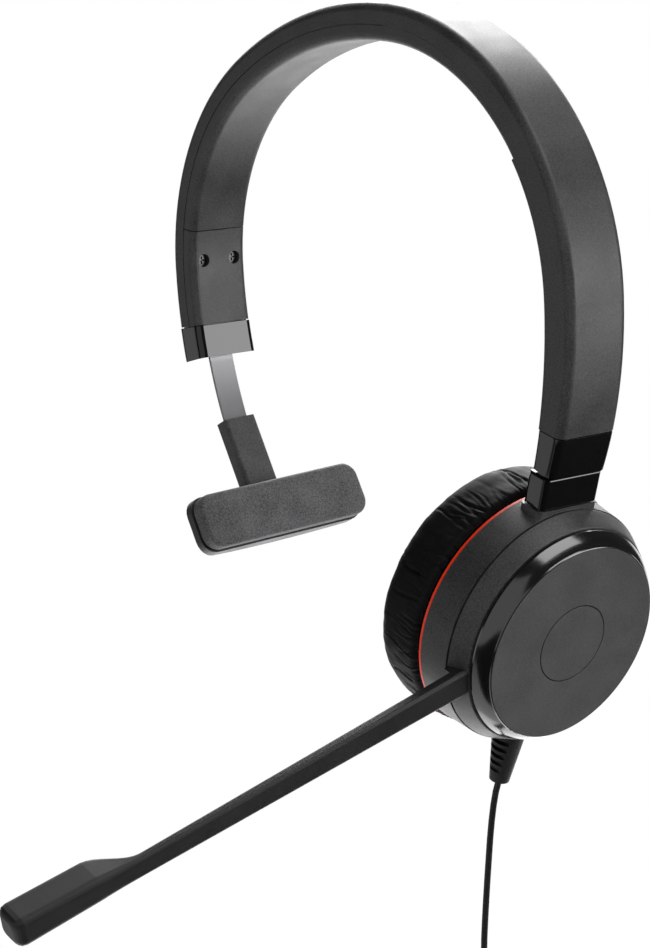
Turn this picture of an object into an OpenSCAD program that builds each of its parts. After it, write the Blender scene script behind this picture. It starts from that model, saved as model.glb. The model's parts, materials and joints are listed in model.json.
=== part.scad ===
// Office headset for one ear: sprung headband, temple rest, ear cup with a turning boom microphone.
// Millimetres. +Z up, +X towards the ear cup, the wearer faces -Y.
// The origin is the underside of the headband at the middle of its length, where it rests on the head.

/* [Headband] */
// Width of the headband, front to back
band_w = 18.5; // [15:0.5:22]
// Thickness of the headband
band_t = 9.4; // [8.6:0.2:11]
// Wall of the moulded headband halves
band_wall = 1.8; // [1.4:0.1:2.2]
// Edge radius of the headband
band_edge = 2.2; // [1:0.1:2.6]
// Depth of the shadow line between two mouldings
seam_gap = 0.25; // [0.1:0.05:0.4]
// Radius of the crown, at the middle of the thickness
crown_r = 102; // [90:1:120]
// Crown arc towards the temple rest, in degrees
crown_rest_angle = 31; // [25:1:36]
// Crown arc towards the ear cup, in degrees
crown_cup_angle = 4; // [2:1:8]
// Radius of the shoulder above the temple rest
rest_shoulder_r = 60; // [55:1:66]
// Direction at which that shoulder ends, in degrees from the top
rest_shoulder_end = 92; // [88:1:96]
// Radius of the shoulder above the ear cup
cup_shoulder_r = 66; // [60:1:72]
// Direction at which that shoulder ends, in degrees from the top
cup_shoulder_end = 88; // [84:1:92]

/* [Height adjusters] */
// Radius of the curved slide on the temple side
rest_slide_r = 112; // [104:1:120]
// Radius of the curved slide on the ear cup side
cup_slide_r = 112; // [104:1:120]
// Length of the headband's straighter arm on the temple side
rest_arm = 25.5; // [22:0.5:30]
// Length of the headband's straighter arm on the ear cup side
cup_arm = 41.2; // [38:0.1:46]
// Taper of the cup arm on its outer face
taper_out = 0.7; // [0:0.1:1]
// Taper of the cup arm on its inner face
taper_in = 1.8; // [0.4:0.1:2]
// Length of the cap on the temple-rest side
cap_len = 9.2; // [8:0.1:11]
// Length of the cap on the ear-cup side
cup_cap_len = 9.9; // [8:0.1:11]
// How far the temple-side cap stands proud of the headband
cap_proud = 0.15; // [0.1:0.05:0.4]
// Length of a cap's tongue inside the headband
cap_tongue = 5; // [3:0.5:8]
// Width of the steel strips
strip_w = 7.6; // [6:0.2:8.4]
// Thickness of the steel strips
strip_t = 0.8; // [0.6:0.1:1]
// Clearance round a strip in its slot
strip_gap = 0.35; // [0.3:0.05:0.5]
// Strip length that stays inside the headband on the temple side
rest_strip_in = 27; // [24:0.5:29]
// Strip length shown between cap and stem on the temple side
rest_strip_out = 18.2; // [10:0.2:24]
// Strip length that stays inside the headband on the ear cup side
cup_strip_in = 48; // [44:0.5:50]
// Distance from the cup-side cap to the yoke block
yoke_gap = 0.65; // [0.5:0.05:2]
// Radius of the stop rivet at a strip's inner end
stop_r = 1.6; // [1.2:0.1:2]
// How far the stop rivet stands above its slot
stop_over = 0.4; // [0.3:0.05:0.6]

/* [Covers] */
// Length of the temple-side inner cover
rest_cover = 27.5; // [24:0.5:32]
// Direction at which the cup-side inner cover begins, in degrees from the top
cup_cover_start = 55.5; // [50:0.5:62]
// Thickness of the cup-side inner cover
cover_t = 1.3; // [1:0.1:1.6]
// Distance of the screws from the near end of the temple-side cover
screw_inset = 9.2; // [7:0.2:12]
// Plastic between a screw and the strip's channel
screw_land = 0.35; // [0.25:0.05:0.5]
// Depth of a screw head's top below the surface
screw_recess = 1.3; // [0.3:0.1:1.6]
// Radius of a screw head
screw_head_r = 1.6; // [1.3:0.1:1.8]
// Height of a screw head
screw_head_h = 0.9; // [0.7:0.1:1.1]
// Radius of a screw shank
screw_r = 0.6; // [0.5:0.05:0.8]
// Length of a screw under its head
screw_len = 4.2; // [3:0.1:5]
// Clearance of a screw in a cover
screw_gap = 0.2; // [0.1:0.05:0.3]

/* [Temple rest] */
// Width of the stem
stem_w = 10.6; // [9.6:0.2:13]
// Thickness of the stem
stem_t = 5; // [4:0.2:6]
// Length of the stem above the pad
stem_len = 20; // [16:0.5:24]
// Lean of the stem and pad, in degrees
rest_lean = 27.5; // [20:0.5:34]
// Turn of the stem and pad in their own plane, in degrees
rest_turn = 2.2; // [0:0.1:4]
// Radius of the fillets between stem and pad
stem_fillet = 1.8; // [0.5:0.1:2.5]
// Length of the temple pad
pad_len = 54.6; // [44:0.2:64]
// Height of the temple pad
pad_h = 15; // [13:0.5:20]
// Thickness of the temple pad
pad_t = 4.4; // [3:0.2:6]
// Corner radius of the temple pad
pad_corner = 4; // [2:0.5:6]
// How far the back shell reaches past the pad all round
shell_rim = 0.4; // [0.2:0.1:2]
// Thickness of the back shell at its ends
shell_t = 2.4; // [2:0.2:3.4]
// Swell of the back shell at its middle
shell_swell = 3.2; // [3:0.2:5]

/* [Ear cup] */
// Lean of the ear cup, in degrees
cup_lean = 16; // [14:0.5:18]
// Radius of the housing where it meets the trim ring
housing_r = 31.9; // [31.5:0.1:33]
// Radius of the housing at its front seam
housing_front_r = 31.3; // [30.9:0.1:31.5]
// Depth of the housing wall
housing_len = 8.6; // [7.6:0.1:9.6]
// Wall of the housing
housing_wall = 1.8; // [1.4:0.1:2.2]
// Radius of the hub that carries the boom ring
hub_r = 22; // [18:0.5:24]
// Thickness of the coloured trim ring
trim_t = 0.7; // [0.5:0.1:1.4]
// How far the trim ring stands proud of the housing
trim_proud = 0.02; // [0:0.01:0.3]
// Radius of the glossy ring at its wide edge
gloss_r = 28.2; // [27:0.1:29]
// Crown of the glossy ring's slope
gloss_crown = 0.2; // [0:0.02:0.4]
// Height of the glossy ring
gloss_h = 4.4; // [3.8:0.1:5]
// Radius of the flat outer face
face_r = 25.4; // [24:0.1:26.4]
// Thickness of the flat outer face
face_t = 1.2; // [1:0.1:1.6]
// Radius of the round badge place
badge_r = 10.3; // [8:0.1:12]
// Width of the groove round the badge place
badge_groove = 0.3; // [0.2:0.05:0.5]
// Thickness of the badge disc
badge_t = 0.8; // [0.5:0.1:0.9]

/* [Ear cushion] */
// Outer radius of the ear cushion
cushion_r = 32.3; // [31.6:0.1:34]
// Radius of the cushion's ear opening
ear_hole_r = 15; // [12:0.5:18]
// Depth of the ear cushion
cushion_t = 15; // [13:0.5:18]
// Radius of the speaker
speaker_r = 14; // [11:0.5:16]
// Depth of the speaker
speaker_t = 5; // [4:0.5:6]
// Thickness of the speaker plate
plate_t = 1.5; // [1.2:0.1:2]
// Radius of one sound hole
sound_hole_r = 1.3; // [0.8:0.1:1.6]

/* [Yoke] */
// Height of the glossy yoke block
yoke_h = 8.2; // [7:0.2:9]
// Thickness of the yoke block
yoke_t = 7; // [6.4:0.1:7.6]
// Offset of the steel strip from the middle of the yoke block
yoke_offset = 0.47; // [0:0.01:1]
// Edge radius of the yoke block
yoke_edge = 1.6; // [1:0.1:2.4]
// Edge radius round the top of the yoke block
yoke_top_edge = 0.8; // [0.5:0.1:1.2]
// Running gap between the yoke block and the saddle
saddle_gap = 0.35; // [0.3:0.05:0.6]
// How far the saddle reaches past the yoke block
saddle_rim = 0.4; // [0.2:0.05:0.6]
// Radius of the swivel pin
pin_r = 2; // [1.6:0.1:2.2]
// How far the pin's head reaches past its shank
pin_head = 0.6; // [0.4:0.1:0.8]
// Running clearance round the swivel pin
pin_gap = 0.06; // [0.04:0.01:0.1]

/* [Boom microphone] */
// Angle of the boom below the horizontal, in degrees
boom_angle = 17; // [0:1:40]
// Depth of the boom ring
ring_len = 4.9; // [4.4:0.1:5.2]
// Gap between the boom ring and the mouldings beside it
ring_gap = 0.35; // [0.3:0.05:0.45]
// Running clearance between the boom ring and its hub
ring_fit = 0.07; // [0.04:0.01:0.1]
// Distance from the cup axis to the tip of the microphone
boom_len = 154.2; // [120:0.5:165]
// Length of the microphone head
mic_len = 33.5; // [30:0.5:42]
// Thickness of the boom arm at the ring
boom_t = 3.1; // [3:0.1:3.6]
// Thickness of the boom arm at the microphone head
boom_tip_t = 2.4; // [2.2:0.1:3]
// Height of the boom arm at the ring
boom_h = 7; // [6:0.1:8]
// Height of the boom arm at the microphone head
boom_tip_h = 5.4; // [4.6:0.1:6]
// Offset of the arm from the cup axis
boom_offset = 1.2; // [0:0.1:2]
// Edge radius of the boom arm
boom_edge = 0.9; // [0.5:0.1:1.4]
// Width of the microphone head
mic_w = 8.6; // [7.6:0.2:12]
// Height of the microphone head
mic_h = 7.5; // [6:0.1:8]
// Edge radius of the microphone head
mic_edge = 1.5; // [1:0.1:2]
// Radius of the microphone head's end, seen from above
mic_r = 2.3; // [1.8:0.1:4]
// Radius of the microphone head's end, seen from the side
mic_side_r = 1.6; // [1:0.1:2.4]
// Reach of the block at the arm's root, from the cup axis
root_reach = 32; // [31.4:0.1:34]
// Radius of the microphone's sound inlet
grille_r = 2.1; // [1.4:0.1:2.4]
// Distance of the sound inlet from the tip
grille_at = 12; // [8:0.5:16]

/* [Cord] */
// Radius of the strain relief at the housing
relief_r = 4.4; // [4:0.1:5]
// Radius of the strain relief at its tip
relief_tip_r = 2.6; // [2.4:0.1:3.6]
// Length of the strain relief
relief_len = 14.6; // [11:0.2:18]
// Number of slots down the strain relief
relief_slots = 5; // [3:1:6]
// Diameter of the cord
cord_d = 1.7; // [1.4:0.1:2.2]
// Radius of the neck in the housing wall
neck_r = 2.6; // [2:0.1:3]
// Clearance round the neck
neck_gap = 0.1; // [0.05:0.05:0.2]
// Radius of the plug pin
jack_r = 1.75; // [1.25:0.05:2]
// Length of the plug pin
jack_len = 14; // [11:0.5:15]
// Radius of the plug's grip
grip_r = 3.6; // [3:0.1:4.5]
// Length of the plug's grip
grip_len = 20; // [15:0.5:26]

/* [Hidden] */

eps = 0.01;
far = 400;                       // larger than the whole object
arc_fn = 240;
round_fn = 96;
small_fn = 48;

matte = "#3b3b3d";
dark = "#232325";
gloss = "#0e0e10";
steel = "#9a9b9e";
accent = "#f2451c";

// ---- places along the headband ----
function half_w(grow = 0) = band_w / 2 + grow;
screw_floor = 0.7;                              // plastic under a screw's head
screw_y = strip_w / 2 + strip_gap + screw_land + screw_r;
screw_seat = screw_recess + screw_head_h + screw_floor;
seat_wall = 0.5;                                // wall of the tube round a screw's head
boss_len = 4.4;
pilot_depth = screw_recess + screw_head_h + screw_len + 0.4;
cup_screw_at = 20;                              // from the end of the cup shoulder to the screws
function dir(th) = [sin(th), cos(th)];          // th is measured from the top, towards the ear cup
half_t = band_t / 2;
crown_c = [0, half_t - crown_r];
rest_shoulder_c = crown_c + (crown_r - rest_shoulder_r) * dir(-crown_rest_angle);
cup_shoulder_c = crown_c + (crown_r - cup_shoulder_r) * dir(crown_cup_angle);
rest_slide_c = rest_shoulder_c + (rest_shoulder_r - rest_slide_r) * dir(-rest_shoulder_end);
cup_slide_c = cup_shoulder_c + (cup_shoulder_r - cup_slide_r) * dir(cup_shoulder_end);
rest_step = 180 / (PI * rest_slide_r);          // degrees of slide per millimetre
cup_step = 180 / (PI * cup_slide_r);
rest_end = rest_shoulder_end + rest_arm * rest_step;
cup_end = cup_shoulder_end + cup_arm * cup_step;
rest_body_end = rest_end - (cap_len + seam_gap) * rest_step;
cup_body_end = cup_end - (cup_cap_len + seam_gap) * cup_step;
rest_cover_start = rest_shoulder_end
    - (rest_cover - (rest_body_end - rest_shoulder_end) / rest_step) * 180 / (PI * rest_shoulder_r);

// The cup arm tapers: its two faces are arcs of their own, tangent to the shoulder
function taper_r(r, drop) = 1 / (1 / r - 2 * drop / pow(cup_arm, 2));
arm_out_r = taper_r(cup_slide_r + half_t, -taper_out);
arm_in_r = taper_r(cup_slide_r - half_t, taper_in);
arm_out_c = cup_shoulder_c + (cup_shoulder_r + half_t - arm_out_r) * dir(cup_shoulder_end);
arm_in_c = cup_shoulder_c + (cup_shoulder_r - half_t - arm_in_r) * dir(cup_shoulder_end);

// Neighbouring arcs lap a little, and their sections differ by a hair, so that one ends inside the other
hair = 0.01;
lap = 0.05;                                     // degrees
fit_gap = 0.04;                                 // between mouldings that close on each other

// The seam leaves the middle of the band's side and runs down to the cup-side cover
seam_x = -0.5;
seam_end_x = -half_t + cover_t;
seam_r0 = cup_shoulder_r + seam_x - 3 * hair;
seam_r1 = cup_shoulder_r + seam_end_x;
seam_shift = (pow(seam_r0, 2) - pow(seam_r1, 2))
    / (2 * (seam_r0 - seam_r1 * cos(cup_cover_start - crown_cup_angle)));
seam_r = seam_r0 - seam_shift;
seam_c = cup_shoulder_c + seam_shift * dir(crown_cup_angle);

// ---- temple rest ----
rest_strip_seat = 12;                           // strip length held in the stem
rest_foot = rest_end + rest_strip_out * rest_step;
stem_top = rest_slide_c + rest_slide_r * dir(-rest_foot);
pad_drop = stem_len + 0.02 + shell_rim + pad_h / 2;   // stem top to pad middle
pad_front = stem_t / 2 + shell_t - 0.6;         // stem middle to the pad's seat

// ---- ear cup, in its own frame: +X outwards along the axis, +Z up ----
housing_front = -(gloss_h + 2 * ring_gap + ring_len);
housing_back = housing_front - housing_len;
trim_back = housing_back - trim_t;
plate_back = trim_back - plate_t;
cushion_front = plate_back - 0.3;
cushion_back = cushion_front - cushion_t;
yoke_outer = housing_front - 0.05;
yoke_mid = yoke_outer - yoke_t / 2;
saddle_top = housing_r;
yoke_bottom = saddle_top + saddle_gap;
pin_boss_z = 27.6;                              // inner end of the pin's bearing boss
pin_head_t = 1.2;
pin_seat = 2.6;                                 // depth of the pin's seat in the yoke block
cup_axis = [cos(cup_lean), -sin(cup_lean)];
cup_up = [sin(cup_lean), cos(cup_lean)];
strip_foot = cup_slide_c + cup_slide_r * dir(cup_end + yoke_gap * cup_step);
cup_c = strip_foot - (yoke_mid + yoke_offset) * cup_axis - (yoke_bottom + yoke_h) * cup_up;
relief_x = (housing_front + housing_back) / 2 - 0.4;
relief_top = -(housing_r + trim_proud + 0.05);

// ---- boom, in its own frame: +X along the arm, +Z up, +Y across the arm towards the head ----
boom_outer = -(gloss_h + ring_gap);             // outer face of the arm, on the cup axis
arm_end = boom_len - mic_len;
ring_front_r = 28.7;
ring_back_r = housing_front_r - 0.15;

// ---- cord route, from the strain relief down to the coil, and from the coil to the plug ----
relief_end = cup_c + relief_x * cup_axis + (relief_top - relief_len) * cup_up;
cord_top = [relief_end[0], 0, relief_end[1]];
cord_fall = [[0, 0], [-1.3, -3.7], [-2.3, -7.5], [-3.1, -12], [-3.8, -17], [-4.4, -22.5], [-5, -28],
    [-5.6, -34], [-6.1, -39.5], [-6.5, -44.5], [-6.7, -49.5], [-6.1, -52.6], [-4.8, -55.2], [-3.3, -57.1]];
cord_route = [for (p = cord_fall) cord_top + [p[0], 0, p[1]]];
coil_r = 10.2;                                  // radius to the middle of the wound cord
coil_w = 8;                                     // side of the wound bundle
coil_c = cord_top - [6.7, 0, 57.4 + coil_r + coil_w / 2];
tail_at = 30.6;                                 // where the cord leaves the coil, in degrees below the level
tail_top = coil_c + (coil_r + coil_w / 2 + cord_d / 2 + 0.05) * [cos(tail_at), 0, -sin(tail_at)];
tail_route = [for (drop = [0, 3.6, 7.1]) tail_top - [0, 0, drop]];
tie_at = -32;                                   // degrees from the top of the coil
tie_t = 1;
tie_w = 6;

// ---- helpers ----
function arc_pts(c, r, a0, a1, n) = r == 0 ? [c]
    : [for (i = [0 : n]) c + r * [cos(a0 + (a1 - a0) * i / n), sin(a0 + (a1 - a0) * i / n)]];

// Rounded rectangle from [x0, y0] to [x1, y1]; the corner radii follow the order x0y0, x1y0, x1y1, x0y1
function rounded(x0, y0, x1, y1, r) = concat(
    arc_pts([x0 + r[0], y0 + r[0]], r[0], 180, 270, 6), arc_pts([x1 - r[1], y0 + r[1]], r[1], 270, 360, 6),
    arc_pts([x1 - r[2], y1 - r[2]], r[2], 0, 90, 6), arc_pts([x0 + r[3], y1 - r[3]], r[3], 90, 180, 6));

// Sweeps a section round an arc in the plane of the headband, from th0 to th1
module sweep(c, r, th0, th1)
    rotate([90, 0, 0]) translate([c[0], c[1], 0])
        rotate_extrude(angle = th1 - th0, start = 90 - th1, $fn = arc_fn) translate([r, 0]) children();

// Round bar across the headband, centred on a point of its plane
module cross_bar(c, r, fn = arc_fn)
    translate([c[0], 0, c[1]]) rotate([90, 0, 0]) cylinder(r = r, h = 3 * band_w, center = true, $fn = fn);

// Everything past the direction th of an arc centred on c: used to cut an end square
module beyond(c, th)
    translate([c[0], 0, c[1]]) rotate([0, th, 0]) translate([0, -far / 2, 0]) cube([far, far, far]);

// Closed skin over a row of sections that have the same number of points
module skin(rings) {
    n = len(rings[0]);
    sides = [for (i = [0 : len(rings) - 2], k = [0 : n - 1])
        [i * n + k, i * n + (k + 1) % n, (i + 1) * n + (k + 1) % n, (i + 1) * n + k]];
    polyhedron([for (ring = rings, p = ring) p],
        concat([[for (k = [n - 1 : -1 : 0]) k]], sides, [[for (k = [0 : n - 1]) (len(rings) - 1) * n + k]]));
}

module at_cup() translate([cup_c[0], 0, cup_c[1]]) rotate([0, cup_lean, 0]) children();
module revolve(fn = round_fn) rotate([0, 90, 0]) rotate_extrude($fn = fn) children();
module at_boom() at_cup() rotate([boom_angle, 0, 0]) children();
// +X faces the head, +Z runs down the stem
module at_stem()
    translate([stem_top[0], 0, stem_top[1]]) rotate([0, 180 - rest_lean, 0]) rotate([0, 0, 180])
        rotate([rest_turn, 0, 0]) children();

// ---- headband sections, x outwards from the middle of the thickness ----
// Open channel whose walls reach down to x0
module channel_section(x0, grow = 0)
    difference() {
        polygon(rounded(x0 - grow, -half_w(grow), half_t + grow, half_w(grow), [0, band_edge, band_edge, 0]));
        polygon(rounded(x0 - 1, -half_w(-band_wall - grow), half_t - band_wall - grow,
            half_w(-band_wall - grow), [0, 0.6, 0.6, 0]));
    }
// Inner half: a shallow channel, with a shadow line along its seam where it has one
module liner_section(grow = 0, shadow = true)
    difference() {
        polygon(rounded(-half_t - grow, -half_w(grow), seam_x - fit_gap + grow, half_w(grow),
            [band_edge, 0, 0, band_edge]));
        polygon(rounded(-half_t + band_wall + grow, -half_w(-band_wall - grow), seam_x + 1,
            half_w(-band_wall - grow), [0.6, 0, 0, 0.6]));
        if (shadow) for (s = [-1, 1])
            translate([seam_x - fit_gap, s * half_w()]) square([2 * seam_gap, 2 * seam_gap], center = true);
    }
module cap_section(grow)
    polygon(rounded(-half_t - grow, -half_w(grow), half_t + grow, half_w(grow), [for (i = [0 : 3]) band_edge]));
module slot_section() square([strip_t + 2 * strip_gap, strip_w + 2 * strip_gap], center = true);
module tongue_section(grow = -0.1)
    square([band_t - 2 * band_wall + 2 * grow, band_w - 2 * band_wall + 2 * grow], center = true);

// Screw boss between the side wall and the strip's channel, standing on the outer wall
module screw_boss(wall_start)
    for (part = [[screw_seat + 0.1, -band_wall - 0.1], [wall_start, 0.3 - band_wall]])
        translate([-boss_len / 2, -screw_r - screw_land, part[0]])
            cube([boss_len, half_w(part[1]) - screw_y + screw_r + screw_land, band_t - band_wall + 0.3 - part[0]]);

module band_shell() color(matte)
    difference() {
        union() {
            for (s = [0, 1]) mirror([0, s, 0]) {
                at_rest_screw() screw_boss(seam_x + half_t + 0.1);
                at_cup_screw() screw_boss(screw_seat + 0.1);
            }
            sweep(rest_slide_c, rest_slide_r, -rest_body_end, -rest_shoulder_end + lap) channel_section(seam_x);
            sweep(rest_shoulder_c, rest_shoulder_r, -rest_shoulder_end, -crown_rest_angle)
                channel_section(seam_x, hair);
            sweep(crown_c, crown_r, -crown_rest_angle - lap, crown_cup_angle + lap) channel_section(seam_x);
            difference() {
                sweep(cup_shoulder_c, cup_shoulder_r, crown_cup_angle, cup_shoulder_end)
                    channel_section(seam_end_x, hair);
                above_cover(0) cross_bar(seam_c, seam_r);
            }
            difference() {
                sweep(arm_out_c, arm_out_r - half_t, cup_shoulder_end - lap, cup_end) channel_section(-half_t);
                cross_bar(arm_in_c, arm_in_r + cover_t);
                beyond(cup_slide_c, cup_body_end);
            }
        }
        for (s = [0, 1]) mirror([0, s, 0]) {
            at_rest_screw() cylinder(r = screw_r + 0.02, h = pilot_depth, $fn = small_fn);
            at_cup_screw() cylinder(r = screw_r + 0.02, h = pilot_depth, $fn = small_fn);
        }
    }

// Keeps what lies above the start of the cup-side cover
module above_cover(gap)
    difference() {
        children();
        beyond(cup_shoulder_c, cup_cover_start - gap);
    }
module band_liner() color(matte) {
    sweep(rest_shoulder_c, rest_shoulder_r, -rest_cover_start, -crown_rest_angle + lap) liner_section();
    sweep(crown_c, crown_r, -crown_rest_angle, crown_cup_angle) liner_section(hair);
    intersection() {
        sweep(cup_shoulder_c, cup_shoulder_r, crown_cup_angle - lap, cup_cover_start)
            liner_section(0, false);
        cross_bar(seam_c, seam_r - fit_gap);
    }
}

// Place of the screw on the back side: +Z points from the inner face of the band outwards
module at_rest_screw()
    translate([rest_slide_c[0], 0, rest_slide_c[1]])
        rotate([0, -(rest_body_end - (rest_cover - screw_inset) * rest_step), 0])
            translate([0, screw_y, rest_slide_r - half_t]) children();
module at_cup_screw()
    translate([arm_in_c[0], 0, arm_in_c[1]])
        rotate([0, cup_shoulder_end + cup_screw_at * 180 / (PI * arm_in_r), 0])
            translate([0, screw_y, arm_in_r]) children();
module screw()
    translate([0, 0, screw_recess]) {
        difference() {
            cylinder(r = screw_head_r, h = screw_head_h, $fn = small_fn);
            for (a = [0, 90]) rotate([0, 0, a]) cube([0.5, 2.1, 0.9], center = true);
        }
        translate([0, 0, screw_head_h - eps]) cylinder(r = screw_r, h = screw_len, $fn = small_fn);
    }
module screw_cut() {
    translate([0, 0, -1]) cylinder(r = screw_head_r + screw_gap, h = 1 + screw_seat - screw_floor, $fn = small_fn);
    cylinder(r = screw_r + screw_gap, h = 2 * screw_seat, $fn = small_fn);
}
// Tube behind a cover, deep enough for a screw's seat
module screw_tube()
    translate([0, 0, cover_t / 2])
        cylinder(r = screw_head_r + screw_gap + seat_wall, h = screw_seat - cover_t / 2, $fn = small_fn);

module rest_cover_plate() color(matte)
    difference() {
        union() {
            sweep(rest_slide_c, rest_slide_r, -rest_body_end, -rest_shoulder_end) liner_section(hair);
            sweep(rest_shoulder_c, rest_shoulder_r, -rest_shoulder_end - lap, -rest_cover_start - seam_gap)
                liner_section();
            for (s = [0, 1]) mirror([0, s, 0]) at_rest_screw() screw_tube();
        }
        for (s = [0, 1]) mirror([0, s, 0]) at_rest_screw() screw_cut();
    }
module cover_section(grow = 0)
    polygon(rounded(-grow, -half_w(grow), cover_t - fit_gap + grow, half_w(grow), [1, 0, 0, 1]));
module cup_cover_plate() color(matte)
    difference() {
        union() {
            sweep(cup_shoulder_c, cup_shoulder_r - half_t, cup_cover_start + seam_gap, cup_shoulder_end)
                cover_section(hair);
            difference() {
                sweep(arm_in_c, arm_in_r, cup_shoulder_end - lap, cup_end) cover_section();
                beyond(cup_slide_c, cup_body_end);
            }
            for (s = [0, 1]) mirror([0, s, 0]) at_cup_screw() screw_tube();
        }
        for (s = [0, 1]) mirror([0, s, 0]) at_cup_screw() screw_cut();
    }
module rest_cap() color(gloss)
    difference() {
        union() {
            sweep(rest_slide_c, rest_slide_r, -rest_end, -rest_end + cap_len * rest_step) cap_section(cap_proud);
            sweep(rest_slide_c, rest_slide_r, -rest_body_end - seam_gap * rest_step - eps,
                -rest_body_end + cap_tongue * rest_step) tongue_section();
            sweep(rest_slide_c, rest_slide_r, -rest_body_end - seam_gap * rest_step - eps,
                -rest_body_end - 0.02 * rest_step) cap_section(-collar_in);
        }
        sweep(rest_slide_c, rest_slide_r, -rest_end - 1, -rest_body_end + (cap_tongue + 1) * rest_step)
            slot_section();
    }
collar_in = 0.5;                                // how far the collar in a cap's seam lies inside the surface
cup_tongue_in = -half_t + taper_in + cover_t + 0.1;
cup_tongue_out = half_t - taper_out - band_wall - 0.1;
module cup_cap() color(gloss)
    difference() {
        union() {
            intersection() {
                sweep(arm_out_c, arm_out_r - half_t, cup_shoulder_end, cup_end + 4)
                    polygon(rounded(-band_t, -half_w(), half_t, half_w(), [0, band_edge, band_edge, 0]));
                sweep(arm_in_c, arm_in_r + half_t, cup_shoulder_end, cup_end + 4)
                    polygon(rounded(-half_t, -half_w(), band_t, half_w(), [1.4, 0, 0, 1.4]));
                beyond(cup_slide_c, cup_end - cup_cap_len * cup_step);
            }
            sweep(cup_slide_c, cup_slide_r, cup_body_end - cap_tongue * cup_step,
                cup_body_end + seam_gap * cup_step + eps)
                translate([cup_tongue_in, -half_w(-band_wall - 0.1)])
                    square([cup_tongue_out - cup_tongue_in, 2 * half_w(-band_wall - 0.1)]);
            sweep(cup_slide_c, cup_slide_r, cup_body_end + 0.02 * cup_step,
                cup_body_end + seam_gap * cup_step + eps)
                polygon(rounded(cup_tongue_in - band_wall + collar_in - 0.3, -half_w(-collar_in),
                    cup_tongue_out + band_wall - collar_in + 0.3, half_w(-collar_in), [1, 2, 2, 1]));
        }
        beyond(cup_slide_c, cup_end);
        sweep(cup_slide_c, cup_slide_r, cup_body_end - (cap_tongue + 1) * cup_step, cup_end + 1) slot_section();
    }
module rest_screw_front() color(steel) mirror([0, 1, 0]) at_rest_screw() screw();
module rest_screw_back() color(steel) at_rest_screw() screw();
module cup_screw_front() color(steel) mirror([0, 1, 0]) at_cup_screw() screw();
module cup_screw_back() color(steel) at_cup_screw() screw();

// ---- temple rest ----
module strip_section() square([strip_t, strip_w], center = true);
// Rivet at a strip's inner end, too tall for the slot of the cap
module stop_rivet(c, r, th)
    translate([c[0], 0, c[1]]) rotate([0, th, 0]) translate([0, 0, r - strip_t / 2])
        cylinder(r = stop_r, h = strip_t + strip_gap + stop_over, $fn = small_fn);
module rest_strip() color(steel) {
    sweep(rest_slide_c, rest_slide_r, -rest_foot - rest_strip_seat * rest_step,
        -rest_end + rest_strip_in * rest_step) strip_section();
    stop_rivet(rest_slide_c, rest_slide_r, -rest_end + (rest_strip_in - 2 * stop_r) * rest_step);
}

stem_edge = 1.2;
module rest_stem() color(matte)
    difference() {
        at_stem() union() {
            linear_extrude(stem_len) polygon(rounded(-stem_t / 2, -stem_w / 2, stem_t / 2, stem_w / 2,
                [for (i = [0 : 3]) stem_edge]));
            translate([0, 0, stem_len]) rotate([90, 0, 90])
                linear_extrude(stem_t - 2 * stem_edge, center = true) difference() {
                    translate([-stem_w / 2 - stem_fillet, -stem_fillet])
                        square([stem_w + 2 * stem_fillet, stem_fillet]);
                    for (s = [-1, 1]) translate([s * (stem_w / 2 + stem_fillet), -stem_fillet])
                        circle(r = stem_fillet, $fn = small_fn);
                }
        }
        at_stem() cube([strip_t + 2, strip_w + 1.2, 1.4], center = true);
        sweep(rest_slide_c, rest_slide_r, -rest_foot - (rest_strip_seat + 0.5) * rest_step, -rest_foot + 1)
            square([strip_t + 0.1, strip_w + 0.1], center = true);
    }
module pad_outline(grow)
    polygon(rounded(-pad_h / 2 - grow, -pad_len / 2 - grow, pad_h / 2 + grow, pad_len / 2 + grow,
        [for (i = [0 : 3]) pad_corner + grow]));
swell_r = (pow(pad_len / 2 + shell_rim, 2) + pow(shell_swell, 2)) / (2 * shell_swell);
module rest_shell() color(dark)
    at_stem() translate([pad_front, 0, pad_drop]) intersection() {
        rotate([0, -90, 0]) linear_extrude(shell_t + shell_swell) pad_outline(shell_rim);
        translate([-shell_t - shell_swell + swell_r, 0, 0])
            cylinder(r = swell_r, h = 3 * pad_h, center = true, $fn = arc_fn);
    }
module temple_pad() color(dark)
    at_stem() translate([pad_front + 0.05, 0, pad_drop])
        rotate([0, 90, 0]) linear_extrude(pad_t) pad_outline(0);

// ---- ear cup slide and yoke ----
cup_strip_seat = 5;
module cup_strip() color(steel) {
    sweep(cup_slide_c, cup_slide_r, cup_end - cup_strip_in * cup_step,
        cup_end + (yoke_gap + cup_strip_seat) * cup_step) strip_section();
    stop_rivet(cup_slide_c, cup_slide_r, cup_end - (cup_strip_in - 2 * stop_r) * cup_step);
}
module yoke_block() color(gloss)
    difference() {
        at_cup() translate([yoke_mid, 0, yoke_bottom]) intersection() {
            linear_extrude(yoke_h) polygon(rounded(-yoke_t / 2, -half_w(), yoke_t / 2, half_w(),
                [for (i = [0 : 3]) yoke_edge]));
            rotate([90, 0, 0]) linear_extrude(2 * band_w, center = true)
                polygon(rounded(-yoke_t / 2, 0, yoke_t / 2, yoke_h, [0.3, 0.3, yoke_top_edge, yoke_top_edge]));
            rotate([90, 0, 90]) linear_extrude(2 * yoke_t, center = true)
                polygon(rounded(-half_w(), 0, half_w(), yoke_h, [0.3, 0.3, yoke_top_edge, yoke_top_edge]));
        }
        sweep(cup_slide_c, cup_slide_r, cup_end - 1, cup_end + (yoke_gap + cup_strip_seat + 0.3) * cup_step)
            square([strip_t + 0.1, strip_w + 0.1], center = true);
        at_cup() translate([yoke_mid, 0, yoke_bottom - 1])
            cylinder(r = pin_r + 0.02, h = 1 + pin_seat, $fn = small_fn);
    }
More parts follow.
